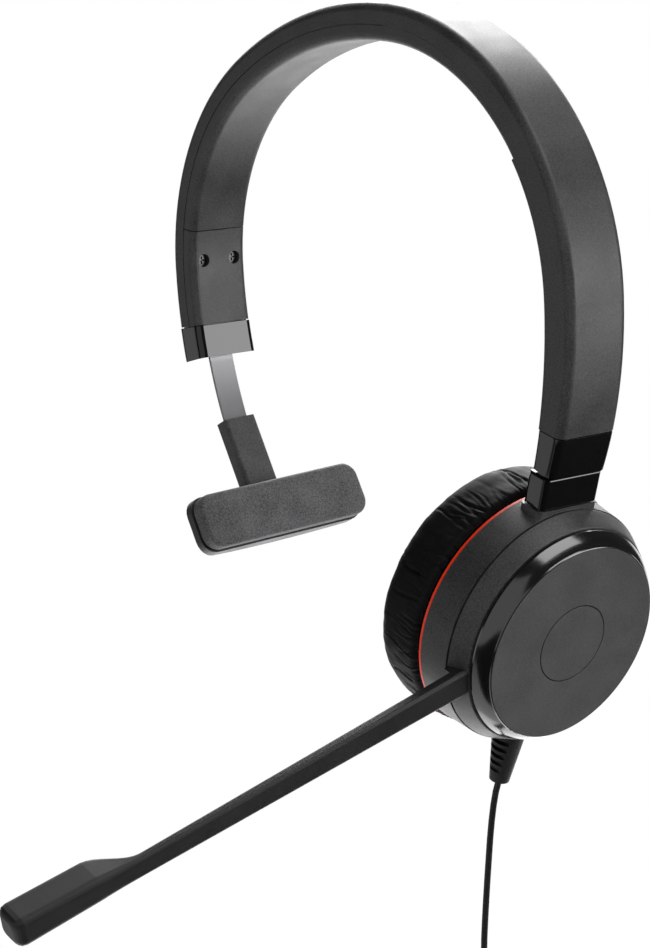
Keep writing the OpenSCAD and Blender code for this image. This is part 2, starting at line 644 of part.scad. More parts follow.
module yoke_pin() color(steel)
    at_cup() translate([yoke_mid, 0, 0]) {
        translate([0, 0, pin_boss_z - 0.35]) cylinder(r = pin_r, h = yoke_bottom + pin_seat - pin_boss_z + 0.35 - 0.1,
            $fn = small_fn);
        translate([0, 0, pin_boss_z - 0.35 - pin_head_t])
            cylinder(r = pin_r + pin_head, h = pin_head_t, $fn = small_fn);
    }

// ---- ear cup ----
housing_in_r = housing_r - housing_wall;
module cup_housing() color(matte) at_cup()
    difference() {
        union() {
            revolve() polygon([[housing_in_r, housing_back], [housing_r, housing_back],
                [housing_front_r, housing_front], [hub_r, housing_front], [hub_r, -gloss_h + 1.8],
                [hub_r - housing_wall, -gloss_h + 1.8], [hub_r - housing_wall, housing_front - housing_wall],
                [housing_front_r - housing_wall, housing_front - housing_wall]]);
            difference() {
                translate([yoke_mid, 0, pin_boss_z]) linear_extrude(saddle_top - pin_boss_z)
                    polygon(rounded(-yoke_t / 2 - saddle_rim, -half_w(saddle_rim), yoke_t / 2 - 0.1, half_w(saddle_rim),
                        [for (i = [0 : 3]) yoke_edge]));
                revolve() square([housing_in_r + 0.6, 60], center = false);
                translate([-60, 0, 0]) revolve() square([housing_in_r + 0.6, 60], center = false);
            }
            translate([yoke_mid, 0, pin_boss_z]) cylinder(r = yoke_t / 2, h = 3, $fn = small_fn);
        }
        translate([yoke_mid, 0, pin_boss_z - 1]) cylinder(r = pin_r + pin_gap, h = 20, $fn = small_fn);
        translate([yoke_mid, 0, pin_boss_z - 3]) cylinder(r = pin_r + pin_head + 0.35, h = 3, $fn = small_fn);
        translate([relief_x, 0, relief_top - 1]) cylinder(r = neck_r + neck_gap, h = 10, $fn = small_fn);
    }
module trim_ring() color(accent) at_cup()
    revolve() translate([housing_in_r - 0.6, trim_back])
        square([housing_r + trim_proud - housing_in_r + 0.6, trim_t - 0.02]);
plate_inset = 1.6;                              // the plate's rim lies hidden behind the trim ring
module speaker_plate() color(dark) at_cup()
    difference() {
        union() {
            revolve() translate([0, plate_back]) square([housing_r - plate_inset, plate_t - 0.02]);
            revolve() translate([housing_in_r - 2.4, trim_back - 0.5]) square([1.7, trim_t + 0.7]);
        }
        for (ring = [0 : 2], i = [0 : max(0, 6 * ring - 1)])
            rotate([i * 60 / max(1, ring), 0, 0]) translate([plate_back - 1, 0, ring * 4])
                rotate([0, 90, 0]) cylinder(r = sound_hole_r, h = plate_t + 2, $fn = 24);
    }
module speaker() color(dark) at_cup()
    translate([trim_back + 0.02, 0, 0]) revolve()
        polygon([[0, 0.8], [speaker_r - 2, 0.8], [speaker_r - 2, 0], [speaker_r, 0], [speaker_r, 2],
            [speaker_r * 0.6, 2.6], [speaker_r * 0.6, speaker_t], [0, speaker_t]]);
module speaker_cloth() color(dark) at_cup()
    revolve() translate([0, plate_back - 0.28]) square([ear_hole_r - 0.4, 0.26]);
module ear_cushion() color(dark) at_cup()
    revolve() polygon(rounded(ear_hole_r, cushion_back, cushion_r, cushion_front, [4.5, 5.5, 2.5, 2]));

// ---- outer face of the cup ----
module gloss_ring() color(gloss) at_cup()
    revolve() polygon(concat([[hub_r + 0.02, -gloss_h], [gloss_r, -gloss_h]],
        [for (i = [0 : 10]) let (rise = gloss_crown * sin(18 * i))
            [gloss_r + (face_r + 0.35 - gloss_r) * i / 10 + 0.8 * rise,
             -gloss_h + 0.5 + (gloss_h - 1) * i / 10 + 0.6 * rise]],
        [[face_r + 0.2, -0.22], [face_r + 0.05, -0.15], [face_r + 0.05, -face_t - 0.02], [hub_r - housing_wall + 0.1, -face_t - 0.02],
         [hub_r - housing_wall + 0.1, -gloss_h + 1.82], [hub_r + 0.02, -gloss_h + 1.82]]));
module face_cap() color(matte) at_cup()
    difference() {
        union() {
            translate([-face_t, 0, 0]) revolve() square([face_r, face_t]);
            translate([-face_t - 5, 0, 0]) revolve() square([hub_r - housing_wall - 0.1, 5.01]);
        }
        translate([-badge_t, 0, 0]) revolve() square([badge_r, badge_t + 1]);
        translate([-face_t - 6, 0, 0]) revolve() square([hub_r - housing_wall - 1.9, 5.2]);
    }
module badge_disc() color(matte) at_cup()
    translate([-badge_t + 0.01, 0, 0]) revolve() square([badge_r - badge_groove, badge_t]);

// ---- boom microphone ----
module ring_form()
    revolve() polygon([[hub_r + ring_fit, housing_front + ring_gap], [ring_back_r, housing_front + ring_gap],
        [ring_front_r, boom_outer], [hub_r + ring_fit, boom_outer]]);
module boom_ring() color(matte) at_cup() ring_form();

// Turned so that +X runs along the arm, +Y out of the cup and +Z up
module along_arm() at_boom() rotate([0, 0, -90]) translate([0, 0, boom_offset]) children();
module arm_section(x, h, t)
    translate([x, 0, 0]) rotate([90, 0, 90]) linear_extrude(eps)
        polygon(rounded(boom_outer - t, -h / 2, boom_outer, h / 2, [for (i = [0 : 3]) boom_edge]));
module boom_arm() color(matte)
    difference() {
        along_arm() {
            hull() {
                arm_section(hub_r + 2, boom_h, boom_t);
                arm_section(arm_end - eps, boom_tip_h, boom_tip_t);
            }
            translate([hub_r + 2, 0, 0]) rotate([90, 0, 90]) linear_extrude(root_reach - hub_r - 2)
                polygon(rounded(housing_front + ring_gap, -boom_h / 2, boom_outer - 0.5, boom_h / 2,
                    [for (i = [0 : 3]) 0.5]));
        }
        at_cup() revolve() polygon([[0, housing_front + ring_gap - 1], [ring_back_r, housing_front + ring_gap - 1],
            [ring_back_r, housing_front + ring_gap], [ring_front_r, boom_outer], [ring_front_r, boom_outer + 1],
            [0, boom_outer + 1]]);
    }
// Microphone head: straight outside, swelling towards the mouth inside, lofted through sections along the arm
swell_len = 12;
mic_in = boom_outer - mic_w;
function swell(u) = (1 - cos(180 * min(1, u))) / 2;
function quarter(r, past) = past <= 0 ? 0 : r - sqrt(r * r - past * past);
function mic_section(x) = let (
        u = (x - arm_end) / swell_len, w = boom_tip_t + (mic_w - boom_tip_t) * swell(u),
        h = boom_tip_h + (mic_h - boom_tip_h) * swell((x - arm_end) / mic_len * 1.6),
        plan = quarter(mic_r, x - boom_len + mic_r), side = quarter(mic_side_r, x - boom_len + mic_side_r),
        edge = boom_edge + (mic_edge - boom_edge) * swell(u), wide = w / 2 - plan, tall = h / 2 - side,
        r = min(edge, wide - 0.05, tall - 0.05))
    [for (p = rounded(-wide, -tall, wide, tall, [r, r, r, r])) [x, boom_outer - w / 2 + p[0], p[1]]];
mic_places = concat([for (i = [0 : 8]) arm_end + swell_len * i / 8], [boom_len - mic_r],
    [for (a = [30, 48, 62, 74, 82, 87]) boom_len - mic_r + mic_r * sin(a)]);
module mic_head() color(matte) along_arm()
    difference() {
        skin([for (x = mic_places) mic_section(x)]);
        translate([boom_len - grille_at, mic_in - 1, 0])
            rotate([-90, 0, 0]) cylinder(r = grille_r + 0.1, h = 1.6, $fn = small_fn);
    }
module mic_grille() color(dark) along_arm()
    translate([boom_len - grille_at, mic_in + 0.1, 0])
        rotate([-90, 0, 0]) cylinder(r = grille_r, h = 0.45, $fn = small_fn);

// ---- cord ----
module strain_relief() color(dark) at_cup()
    translate([relief_x, 0, relief_top]) mirror([0, 0, 1])
        difference() {
            union() {
                cylinder(r1 = relief_r, r2 = relief_tip_r, h = relief_len, $fn = small_fn);
                translate([0, 0, -3.4]) cylinder(r = neck_r, h = 3.5, $fn = small_fn);
            }
            for (i = [0 : relief_slots - 1], s = [-1, 1])
                translate([0, s * 5.3, relief_len * (0.16 + 0.66 * i / (relief_slots - 0.5))])
                    cube([20, 6, 1.2], center = true);
        }

function unit(v) = v / norm(v);
// Tube of n sides swept along a route that lies in the plane of the headband
function route_dir(p, i) = unit(p[min(i + 1, len(p) - 1)] - p[max(i - 1, 0)]);
module tube(p, r, n = 8)
    skin([for (i = [0 : len(p) - 1]) let (t = route_dir(p, i), side = [0, 1, 0], up = cross(t, side))
        [for (k = [0 : n - 1]) p[i] + r * (cos(360 * k / n) * side + sin(360 * k / n) * up)]]);
module cord() color(dark) tube(cord_route, cord_d / 2);
module cord_tail() color(dark) tube(tail_route, cord_d / 2);
module cord_coil() color(dark)
    translate(coil_c) rotate([90, 0, 0]) rotate_extrude($fn = round_fn)
        translate([coil_r, 0]) polygon(rounded(-coil_w / 2, -coil_w / 2, coil_w / 2, coil_w / 2,
            [for (i = [0 : 3]) 1.1]));
module coil_tie() color(gloss)
    translate(coil_c) rotate([0, tie_at, 0]) translate([0, 0, coil_r])
        rotate([0, 90, 0]) linear_extrude(tie_w, center = true) difference() {
            square(coil_w + 2 * tie_t + 1.6, center = true);
            square(coil_w + 1.6, center = true);
        }
grip_taper = grip_len * 0.3;
plug_top = tail_route[len(tail_route) - 1];
module plug_grip() color(dark)
    translate(plug_top) mirror([0, 0, 1]) {
        cylinder(r1 = cord_d / 2 + 0.7, r2 = grip_r * 0.72, h = grip_taper, $fn = small_fn);
        translate([0, 0, grip_taper]) cylinder(r = grip_r, h = grip_len - grip_taper, $fn = small_fn);
    }
module plug_pin() color(steel)
    translate(plug_top - [0, 0, grip_len]) mirror([0, 0, 1]) {
        cylinder(r = jack_r, h = jack_len - 2.6, $fn = small_fn);
        translate([0, 0, jack_len - 2.6]) cylinder(r1 = jack_r - 0.4, r2 = jack_r, h = 0.9, $fn = small_fn);
        translate([0, 0, jack_len - 1.7]) cylinder(r1 = jack_r, r2 = 0.5, h = 1.7, $fn = small_fn);
    }

band_shell();
band_liner();
rest_cover_plate();
cup_cover_plate();
rest_cap();
cup_cap();
rest_screw_front();
rest_screw_back();
cup_screw_front();
cup_screw_back();
rest_strip();
rest_stem();
rest_shell();
temple_pad();
cup_strip();
yoke_block();
yoke_pin();
cup_housing();
trim_ring();
speaker_plate();
speaker();
speaker_cloth();
ear_cushion();
gloss_ring();
face_cap();
badge_disc();
boom_ring();
boom_arm();
mic_head();
mic_grille();
strain_relief();
cord();
cord_coil();
coil_tie();
cord_tail();
plug_grip();
plug_pin();
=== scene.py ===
# Office headset: the camera and lights, the finishes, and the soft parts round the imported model
import bpy
import bmesh
import json
import math
import random
import numpy as np
from mathutils import Matrix, Vector, noise


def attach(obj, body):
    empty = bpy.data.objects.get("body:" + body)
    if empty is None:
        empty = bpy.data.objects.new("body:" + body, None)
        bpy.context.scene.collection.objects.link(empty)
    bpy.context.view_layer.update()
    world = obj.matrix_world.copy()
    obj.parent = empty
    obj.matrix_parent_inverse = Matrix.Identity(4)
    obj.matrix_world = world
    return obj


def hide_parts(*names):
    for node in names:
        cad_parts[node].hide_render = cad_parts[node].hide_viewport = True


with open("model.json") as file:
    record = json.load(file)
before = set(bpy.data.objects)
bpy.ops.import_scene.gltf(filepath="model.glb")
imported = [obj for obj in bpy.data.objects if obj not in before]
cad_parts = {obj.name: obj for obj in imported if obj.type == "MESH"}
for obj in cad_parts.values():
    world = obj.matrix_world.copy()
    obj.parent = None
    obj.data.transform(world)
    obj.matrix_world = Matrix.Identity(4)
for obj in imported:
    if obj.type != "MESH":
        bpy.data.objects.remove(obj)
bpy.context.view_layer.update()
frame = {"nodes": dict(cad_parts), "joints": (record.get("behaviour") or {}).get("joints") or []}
scene = bpy.context.scene
scene.view_settings.view_transform = "Standard"
mm = 0.001
joints = {joint["name"]: joint for joint in frame["joints"]}
cupCentre = Vector(joints["boom_turn"]["pos_m"])
cupAxis = -Vector(joints["boom_turn"]["axis"]).normalized()
cupUp = Vector(joints["cup_swivel"]["axis"]).normalized()
cupFront = Vector((0, -1, 0))
print("frame loaded:", len(frame["nodes"]), "nodes")


def cupPoint(along, front, up):  # a place on the ear cup, in metres along its axis, to the front and up
    return cupCentre + cupAxis * along + cupFront * front + cupUp * up


# ---- camera ----
cameraLook = {"azimuth": 52.119, "elevation": 11.764, "roll": -1.435, "distance": 0.89996,
              "target": (-0.196941, 0.128528, -0.15875), "lens": 97.512, "sensor": 36.0}


def makeCamera(look):
    azimuth, elevation, roll = (math.radians(look[k]) for k in ("azimuth", "elevation", "roll"))
    back = Vector((math.sin(azimuth) * math.cos(elevation), -math.cos(azimuth) * math.cos(elevation),
                   math.sin(elevation)))
    level = Vector((math.cos(azimuth), math.sin(azimuth), 0))
    above = back.cross(level)
    right = level * math.cos(roll) + above * math.sin(roll)
    up = above * math.cos(roll) - level * math.sin(roll)
    data = bpy.data.cameras.new("camera")
    data.lens, data.sensor_width, data.sensor_fit = look["lens"], look["sensor"], "AUTO"
    data.clip_start, data.clip_end = 0.02, 40
    camera = bpy.data.objects.new("camera", data)
    scene.collection.objects.link(camera)
    place = Matrix((right, up, back)).transposed().to_4x4()
    place.translation = Vector(look["target"]) + back * look["distance"]
    camera.matrix_world = place
    scene.camera = camera


makeCamera(cameraLook)

# ---- cord: its line runs from the strain relief down to the coil, round the coil and out to the plug ----
cordLook = {"diameter": 1.7, "exit": (36.63, 0, -183.42), "coilCentre": (29.93, 0, -255.02),
            "coilRadius": 10.2, "pitch": 1.76, "layers": 4, "rows": 4.4, "steps": 28,
            "fall": [(36.9, 0, -182.8), (36.63, 0, -183.42), (35.3, 0, -187.2), (34.4, 0, -190.9),
                     (33.6, 0, -195.4), (32.9, 0, -200.4), (32.3, 0, -205.9), (31.7, 0, -211.4),
                     (31.1, 0, -217.4), (30.6, 0, -222.9), (30.2, 0, -227.9), (30.0, 0, -232.9),
                     (30.4, -0.3, -235.6), (31.9, -1.0, -238.4),
                     (34.4, -2.0, -241.0), (37.4, -2.9, -243.5)],
            "tail": [(43.6, 2.2, -258.4), (43.2, 0.6, -262.2), (42.93, 0, -266.2), (42.93, 0, -270.2)]}


def cordLine(look):
    points = [Vector(p) for p in look["fall"]]
    centre, steps = Vector(look["coilCentre"]), look["steps"]
    outer = look["coilRadius"] + (look["layers"] - 1) / 2 * look["pitch"]
    side = look["rows"] - 1
    angle = math.radians(50)

    def onCoil(radius, across):
        return centre + Vector((radius * math.sin(angle), across, radius * math.cos(angle)))

    total = int(look["layers"] * look["rows"] * steps)
    perLayer = total / look["layers"]
    for i in range(total + 1):
        layer = min(int(i / perLayer), look["layers"] - 1)
        part = i / perLayer - layer
        ease = min(1, max(0, (part - 0.86) / 0.14)) if layer < look["layers"] - 1 else 0
        across = (part / 0.86 if layer < look["layers"] - 1 else part) * side
        across = min(side, across) * look["pitch"]
        across = across if layer % 2 == 0 else side * look["pitch"] - across
        radius = outer - (layer + ease * ease * (3 - 2 * ease)) * look["pitch"]
        points.append(onCoil(radius, across - side * look["pitch"] / 2))
        angle += 2 * math.pi / steps
    last = points[-1].copy()
    turns = math.ceil((angle + math.radians(10)) / (2 * math.pi))
    end = math.radians(90) + 2 * math.pi * turns
    count = max(8, int((end - angle) / (2 * math.pi / steps)))
    inner = (last - centre).xz.length
    startY = last.y - centre.y
    sideY = (-1 if startY < 0 else 1) * (side * look["pitch"] / 2 + 1.85)
    first = angle
    for i in range(count + 1):
        part = i / count
        ease = part * part * (3 - 2 * part)
        angle = first + (end - first) * part
        radius = inner + (outer + 0.1 - inner) * ease
        points.append(onCoil(radius, startY + (sideY - startY) * min(1, part * 4)))
    points += [Vector(p) for p in look["tail"]]
    return [p * mm for p in points]


def makeTube(name, line, radius, sides):  # a closed tube round a line of points
    bm = bmesh.new()
    rings, across = [], Vector((0, 1, 0))
    for i, place in enumerate(line):
        ahead = (line[min(i + 1, len(line) - 1)] - line[max(i - 1, 0)]).normalized()
        across = (across - ahead * across.dot(ahead)).normalized()
        other = ahead.cross(across)
        rings.append([bm.verts.new(place + (across * math.cos(a) + other * math.sin(a)) * radius)
                      for a in (2 * math.pi * k / sides for k in range(sides))])
    for low, high in zip(rings, rings[1:]):
        for k in range(sides):
            bm.faces.new((low[k], low[(k + 1) % sides], high[(k + 1) % sides], high[k]))
    bm.faces.new(rings[0][::-1])
    bm.faces.new(rings[-1])
    bmesh.ops.recalc_face_normals(bm, faces=bm.faces)
    mesh = bpy.data.meshes.new(name)
    bm.to_mesh(mesh)
    bm.free()
    mesh.shade_smooth()
    tube = bpy.data.objects.new(name, mesh)
    scene.collection.objects.link(tube)
    return tube


cordPath = cordLine(cordLook)
cord = makeTube("headsetCord", cordPath, cordLook["diameter"] / 2 * mm, 12)
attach(cord, "ear_cup")
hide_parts("cord", "cord_coil", "cord_tail")

# ---- lights and room ----
roomLook = {"floorHeight": -0.95, "floorColour": (0.9, 0.9, 0.9), "fill": 0.05, "mirrored": 0.05,
            "board": (0.07, 1.1, -0.9, 0.9, -0.42)}
lamps = {
    "backdrop": {"towards": (-0.77, 0.60, 0.10), "distance": 1.5, "size": (1.9, 1.8), "radiance": 1.4},
    "crownSoftbox": {"towards": (-0.50, 0.62, 0.60), "distance": 1.3, "size": (0.8, 0.9), "radiance": 11.0},
    "rimSoftbox": {"towards": (0.79, 0.60, 0.02), "distance": 1.3, "size": (0.52, 0.80), "radiance": 6.6},
    "topSoftbox": {"towards": (0.54, 0.22, 0.81), "distance": 1.3, "size": (0.95, 0.6), "radiance": 4.0},
    "frontSoftbox": {"towards": (-0.70, -0.70, -0.12), "distance": 1.5, "size": (0.8, 0.7), "radiance": 0.8},
    "keySoftbox": {"towards": (0.48, -0.82, 0.10), "distance": 1.4, "size": (2.0, 2.0), "radiance": 0.65},
    "floorSoftbox": {"towards": (-0.45, 0.42, -0.78), "distance": 0.75, "size": (1.0, 1.0), "radiance": 1.5},
}
lampCentre = Vector((0, -0.03, -0.10))


def makeLamp(name, look):
    data = bpy.data.lights.new(name, "AREA")
    data.shape = "RECTANGLE"
    data.size, data.size_y = look["size"]
    data.energy = look["radiance"] * look["size"][0] * look["size"][1] * math.pi
    lamp = bpy.data.objects.new(name, data)
    scene.collection.objects.link(lamp)
    towards = Vector(look["towards"]).normalized()
    place = towards.to_track_quat("Z", "Y").to_matrix().to_4x4()
    place.translation = lampCentre + towards * look["distance"]
    lamp.matrix_world = place
    lamp.visible_camera = False


def makeRoom(look):
    world = bpy.data.worlds.new("studio")
    scene.world = world
    world.use_nodes = True
    tree = world.node_tree
    tree.nodes.clear()
    path = tree.nodes.new("ShaderNodeLightPath")
    seen = tree.nodes.new("ShaderNodeMath")
    seen.operation = "MAXIMUM"
    tree.links.new(path.outputs["Is Camera Ray"], seen.inputs[0])
    tree.links.new(path.outputs["Is Transmission Ray"], seen.inputs[1])
    fill = tree.nodes.new("ShaderNodeBackground")
    fill.inputs["Color"].default_value = (1, 1, 1, 1)
    fill.inputs["Strength"].default_value = look["fill"]
    mirror = tree.nodes.new("ShaderNodeBackground")
    mirror.inputs["Color"].default_value = (1, 1, 1, 1)
    mirror.inputs["Strength"].default_value = look["mirrored"]
    white = tree.nodes.new("ShaderNodeBackground")
    white.inputs["Color"].default_value = (1, 1, 1, 1)
    white.inputs["Strength"].default_value = 1
    glossy = tree.nodes.new("ShaderNodeMixShader")
    tree.links.new(path.outputs["Is Glossy Ray"], glossy.inputs["Fac"])
    tree.links.new(fill.outputs[0], glossy.inputs[1])
    tree.links.new(mirror.outputs[0], glossy.inputs[2])
    mix = tree.nodes.new("ShaderNodeMixShader")
    tree.links.new(seen.outputs[0], mix.inputs["Fac"])
    tree.links.new(glossy.outputs[0], mix.inputs[1])
    tree.links.new(white.outputs[0], mix.inputs[2])
    out = tree.nodes.new("ShaderNodeOutputWorld")
    tree.links.new(mix.outputs[0], out.inputs["Surface"])

    bm = bmesh.new()
    bmesh.ops.create_grid(bm, x_segments=1, y_segments=1, size=12,
                          matrix=Matrix.Translation((0, 0, look["floorHeight"])))
    mesh = bpy.data.meshes.new("floor")
    bm.to_mesh(mesh)
    bm.free()
    floor = bpy.data.objects.new("floor", mesh)
    scene.collection.objects.link(floor)
    material = bpy.data.materials.new("palePaperFloor")
    material.use_nodes = True
    nodes, links = material.node_tree.nodes, material.node_tree.links
    nodes.clear()
    paper = nodes.new("ShaderNodeBsdfPrincipled")
    paper.inputs["Base Color"].default_value = (*look["floorColour"], 1)
    paper.inputs["Roughness"].default_value = 0.9
    glow = nodes.new("ShaderNodeEmission")
    glow.inputs["Strength"].default_value = 1
    ray = nodes.new("ShaderNodeLightPath")
    blend = nodes.new("ShaderNodeMixShader")
    links.new(ray.outputs["Is Camera Ray"], blend.inputs["Fac"])
    links.new(paper.outputs[0], blend.inputs[1])
    links.new(glow.outputs[0], blend.inputs[2])
    end = nodes.new("ShaderNodeOutputMaterial")
    links.new(blend.outputs[0], end.inputs["Surface"])
    floor.data.materials.append(material)


def makeBoard(look):  # a black board that only mirror-like surfaces see
    x0, x1, y0, y1, z = look["board"]
    bm = bmesh.new()
    bm.faces.new([bm.verts.new(p) for p in ((x0, y0, z), (x1, y0, z), (x1, y1, z), (x0, y1, z))])
    mesh = bpy.data.meshes.new("blackBoard")
    bm.to_mesh(mesh)
    bm.free()
    board = bpy.data.objects.new("blackBoard", mesh)
    scene.collection.objects.link(board)
    board.visible_camera = board.visible_diffuse = board.visible_shadow = False
    material = bpy.data.materials.new("blackBoard")
    material.use_nodes = True
    material.node_tree.nodes["Principled BSDF"].inputs["Base Color"].default_value = (0.002, 0.002, 0.002, 1)
    material.node_tree.nodes["Principled BSDF"].inputs["Roughness"].default_value = 1
    board.data.materials.append(material)


makeRoom(roomLook)
makeBoard(roomLook)
for lampName, lampLook in lamps.items():
    makeLamp(lampName, lampLook)
print("room and lamps made")

# ---- finishes ----
# Heights and grain sizes are in millimetres
finishes = {
    "facePlastic": {"colour": 0.060, "spread": 0.16, "roughness": 0.5, "grain": 0.42, "grainHeight": 0.02,
                    "patch": 9, "specular": 0.5},
    "mattePlastic": {"colour": 0.036, "spread": 0.45, "roughness": 0.47, "grain": 0.42, "grainHeight": 0.022,
                     "patch": 9, "specular": 0.5},
    "darkPlastic": {"colour": 0.02, "spread": 0.12, "roughness": 0.5, "grain": 0.22, "grainHeight": 0.010,
                    "patch": 9, "specular": 0.5},
    "stemPlastic": {"colour": 0.050, "spread": 0.4, "roughness": 0.55, "grain": 0.42, "grainHeight": 0.03,
                    "patch": 7, "specular": 0.5},
    "boomPlastic": {"colour": 0.007, "spread": 0.3, "roughness": 0.5, "grain": 0.22, "grainHeight": 0.012,
                    "patch": 12, "specular": 0.5},
    "glossPlastic": {"colour": 0.004, "spread": 0.1, "roughness": 0.07, "grain": 3.0, "grainHeight": 0.003,
                     "patch": 20, "specular": 0.5},
    "lacquer": {"colour": 0.004, "spread": 0.1, "roughness": 0.15, "grain": 3.0, "grainHeight": 0.003,
                "patch": 20, "specular": 1.0},
    "blackRubber": {"colour": 0.008, "spread": 0.2, "roughness": 0.55, "grain": 0.3, "grainHeight": 0.01,
                    "patch": 4, "specular": 0.4},
    "padFoam": {"colour": 0.090, "spread": 0.45, "roughness": 0.7, "grain": 0.45, "grainHeight": 0.06,
                "patch": 8, "specular": 0.4},
    "leatherette": {"colour": 0.0055, "spread": 0.3, "roughness": 0.62, "grain": 0.5, "grainHeight": 0.02,
                    "patch": 5, "specular": 0.12},
    "darkScrew": {"colour": 0.006, "spread": 0.2, "roughness": 0.35, "grain": 0.3, "grainHeight": 0.004,
                  "patch": 2, "specular": 0.7},
    "orangeTrim": {"colour": (1.0, 0.04, 0.0), "spread": 0.0, "roughness": 0.45, "grain": 0.3,
                   "grainHeight": 0.004, "patch": 8, "specular": 0.5},
}


def mathNode(tree, operation, a, b=None, clamp=False):
    node = tree.nodes.new("ShaderNodeMath")
    node.operation, node.use_clamp = operation, clamp
    for socket, value in zip(node.inputs, (a, b)):
        if isinstance(value, bpy.types.NodeSocket):
            tree.links.new(value, socket)
        elif value is not None:
            socket.default_value = value
    return node.outputs[0]


def makeFinish(name, look):  # moulded surface: fine grain, slow patches of tone and gloss
    material = bpy.data.materials.new(name)
    material.use_nodes = True
    tree = material.node_tree
    nodes, links = tree.nodes, tree.links
    nodes.clear()
    place = nodes.new("ShaderNodeTexCoord")
    grain = nodes.new("ShaderNodeTexNoise")
    grain.inputs["Scale"].default_value = 1000 / look["grain"]
    grain.inputs["Detail"].default_value = 2
    grain.inputs["Roughness"].default_value = 0.6
    patch = nodes.new("ShaderNodeTexNoise")
    patch.inputs["Scale"].default_value = 1000 / look["patch"]
    patch.inputs["Detail"].default_value = 3
    for texture in (grain, patch):
        links.new(place.outputs["Object"], texture.inputs["Vector"])
    colour = look["colour"]
    colour = colour if isinstance(colour, tuple) else (colour, colour, colour * 1.03)
    tone = nodes.new("ShaderNodeMix")
    tone.data_type = "RGBA"
    both = mathNode(tree, "ADD", mathNode(tree, "MULTIPLY", grain.outputs["Fac"], 1.5),
                    mathNode(tree, "MULTIPLY", patch.outputs["Fac"], 0.7))
    both = mathNode(tree, "SUBTRACT", both, 0.6, clamp=True)
    links.new(both, tone.inputs["Factor"])
    tone.inputs["A"].default_value = (*[c * (1 - 2 * look["spread"]) for c in colour], 1)
    tone.inputs["B"].default_value = (*[c * (1 + 2 * look["spread"]) for c in colour], 1)
    rough = nodes.new("ShaderNodeMapRange")
    rough.inputs["From Min"].default_value = 0.3
    rough.inputs["From Max"].default_value = 0.7
    rough.inputs["To Min"].default_value = look["roughness"] * 0.9
    rough.inputs["To Max"].default_value = min(1, look["roughness"] * 1.1)
    links.new(patch.outputs["Fac"], rough.inputs["Value"])
    bump = nodes.new("ShaderNodeBump")
    bump.inputs["Strength"].default_value = 1
    bump.inputs["Distance"].default_value = look["grainHeight"] * mm
    links.new(grain.outputs["Fac"], bump.inputs["Height"])
    surface = nodes.new("ShaderNodeBsdfPrincipled")
    surface.inputs["Specular IOR Level"].default_value = look["specular"]
    links.new(tone.outputs["Result"], surface.inputs["Base Color"])
    links.new(rough.outputs["Result"], surface.inputs["Roughness"])
    links.new(bump.outputs["Normal"], surface.inputs["Normal"])
    out = nodes.new("ShaderNodeOutputMaterial")
    links.new(surface.outputs[0], out.inputs["Surface"])
    return material


steelLook = {"colour": (0.20, 0.20, 0.205), "roughness": 0.38, "brush": (60, 9000, 60), "brushHeight": 0.004}


def makeSteel(name, look):  # brushed steel: the streaks are fine across the strip and long down it
    material = bpy.data.materials.new(name)
    material.use_nodes = True
    tree = material.node_tree
    nodes, links = tree.nodes, tree.links
    nodes.clear()
    place = nodes.new("ShaderNodeTexCoord")
    stretch = nodes.new("ShaderNodeMapping")
    stretch.inputs["Scale"].default_value = look["brush"]
    links.new(place.outputs["Object"], stretch.inputs["Vector"])
    streaks = nodes.new("ShaderNodeTexNoise")
    streaks.inputs["Scale"].default_value = 1
    streaks.inputs["Detail"].default_value = 4
    links.new(stretch.outputs["Vector"], streaks.inputs["Vector"])
    tone = nodes.new("ShaderNodeMix")
    tone.data_type = "RGBA"
    links.new(streaks.outputs["Fac"], tone.inputs["Factor"])
    tone.inputs["A"].default_value = (*[c * 0.8 for c in look["colour"]], 1)
    tone.inputs["B"].default_value = (*[c * 1.2 for c in look["colour"]], 1)
    streaked = mathNode(tree, "MULTIPLY", streaks.outputs["Fac"], 0.2)
    rough = mathNode(tree, "ADD", streaked, look["roughness"] - 0.1)
    bump = nodes.new("ShaderNodeBump")
    bump.inputs["Distance"].default_value = look["brushHeight"] * mm
    links.new(streaks.outputs["Fac"], bump.inputs["Height"])
    surface = nodes.new("ShaderNodeBsdfPrincipled")
    surface.inputs["Metallic"].default_value = 1
    links.new(tone.outputs["Result"], surface.inputs["Base Color"])
    links.new(rough, surface.inputs["Roughness"])
    links.new(bump.outputs["Normal"], surface.inputs["Normal"])
    out = nodes.new("ShaderNodeOutputMaterial")
    links.new(surface.outputs[0], out.inputs["Surface"])
    return material


materials = {name: makeFinish(name, look) for name, look in finishes.items()}
materials["satinSteel"] = makeSteel("satinSteel", steelLook)
print("finishes made")

finishedNodes = {
    "mattePlastic": ["band_shell", "band_liner", "rest_cover_plate", "cup_cover_plate", "cup_housing",
                     "boom_ring"],
    "glossPlastic": ["rest_cap", "cup_cap", "yoke_block", "coil_tie"],
    "darkScrew": ["rest_screw_front", "rest_screw_back", "cup_screw_front", "cup_screw_back"],
    "satinSteel": ["rest_strip", "cup_strip", "yoke_pin", "plug_pin"],
    "stemPlastic": ["rest_stem"],
    "darkPlastic": ["rest_shell", "speaker_plate", "speaker"],
    "padFoam": ["temple_pad"],
    "orangeTrim": ["trim_ring"],
    "blackRubber": ["speaker_cloth", "mic_grille", "strain_relief", "cord", "cord_coil", "cord_tail",
                    "plug_grip"],
    "leatherette": ["ear_cushion"],
    "lacquer": ["gloss_ring"],
    "facePlastic": ["face_cap", "badge_disc"],
    "boomPlastic": ["boom_arm", "mic_head"],
}


def dress(piece, finish):
    piece.data.materials.clear()
    piece.data.materials.append(materials[finish])


for finish, nodeNames in finishedNodes.items():
    for nodeName in nodeNames:
        dress(frame["nodes"][nodeName], finish)
dress(cord, "blackRubber")

